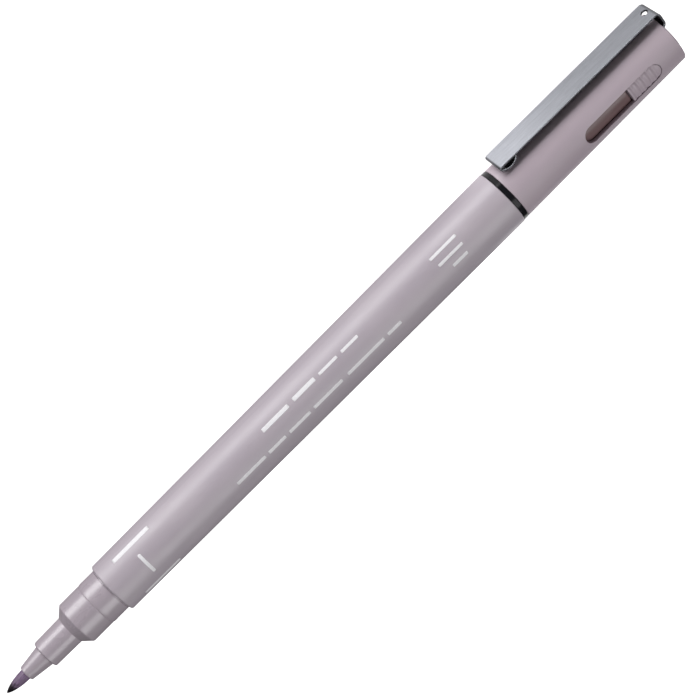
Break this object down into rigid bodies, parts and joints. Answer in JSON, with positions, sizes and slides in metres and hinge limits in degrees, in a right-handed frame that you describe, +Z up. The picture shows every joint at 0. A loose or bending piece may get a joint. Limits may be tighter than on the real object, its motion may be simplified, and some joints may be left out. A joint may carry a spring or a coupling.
{
  "type": "calligraphy marker",
  "caption": "Slim round marker with a pointed brush nib and a stepped nose. Its cap, with a steel pocket clip and a side window, is pushed onto the tail behind a black ring.",
  "frame": {"origin": "on the surface that the pen lies on, under the middle of its bounding box", "axes": "+X along the pen, from the nib towards the cap's closed end; +Z up, through the middle of the cap's window; the pocket clip points to +Y"},
  "size_m": [0.1588, 0.0124, 0.0108],
  "materials": {
    "barrel_plastic": "satin moulded, light lilac grey, printed in white",
    "section_plastic": "polished moulding, light lilac grey",
    "nib_fibre": "bonded synthetic fibre soaked in ink, black at the point",
    "core_fibre": "bonded polyester fibre soaked in ink",
    "film": "thin clear film",
    "black_plastic": "glossy black moulding",
    "cap_plastic": "fine matt moulded texture, lilac grey",
    "inner_cap_plastic": "dark brown moulding",
    "clip_steel": "satin rolled spring steel"
  },
  "bodies": {
    "pen": {"barrel": "barrel_plastic", "front_section": "section_plastic", "nib_holder": "section_plastic", "brush_nib": "nib_fibre", "reservoir_core": "core_fibre", "reservoir_film": "film", "tail_plug": "black_plastic"},
    "cap": {"cap_shell": "cap_plastic", "inner_cap": "inner_cap_plastic", "cap_end_plug": "cap_plastic", "clip_root": "clip_steel"},
    "clip": {"clip_arm": "clip_steel"}
  },
  "joints": [
    {"name": "cap_slide", "type": "slide", "parent": "pen", "child": "cap", "axis": [1, 0, 0], "range_m": [0, 0.012]},
    {"name": "clip_flex", "type": "hinge", "parent": "cap", "child": "clip", "pos_m": [0.07917, 0.00351, 0.00542], "axis": [0, 0, -1], "range_deg": [0, 5], "stiffness_Nm_per_rad": 1.5}
  ]
}
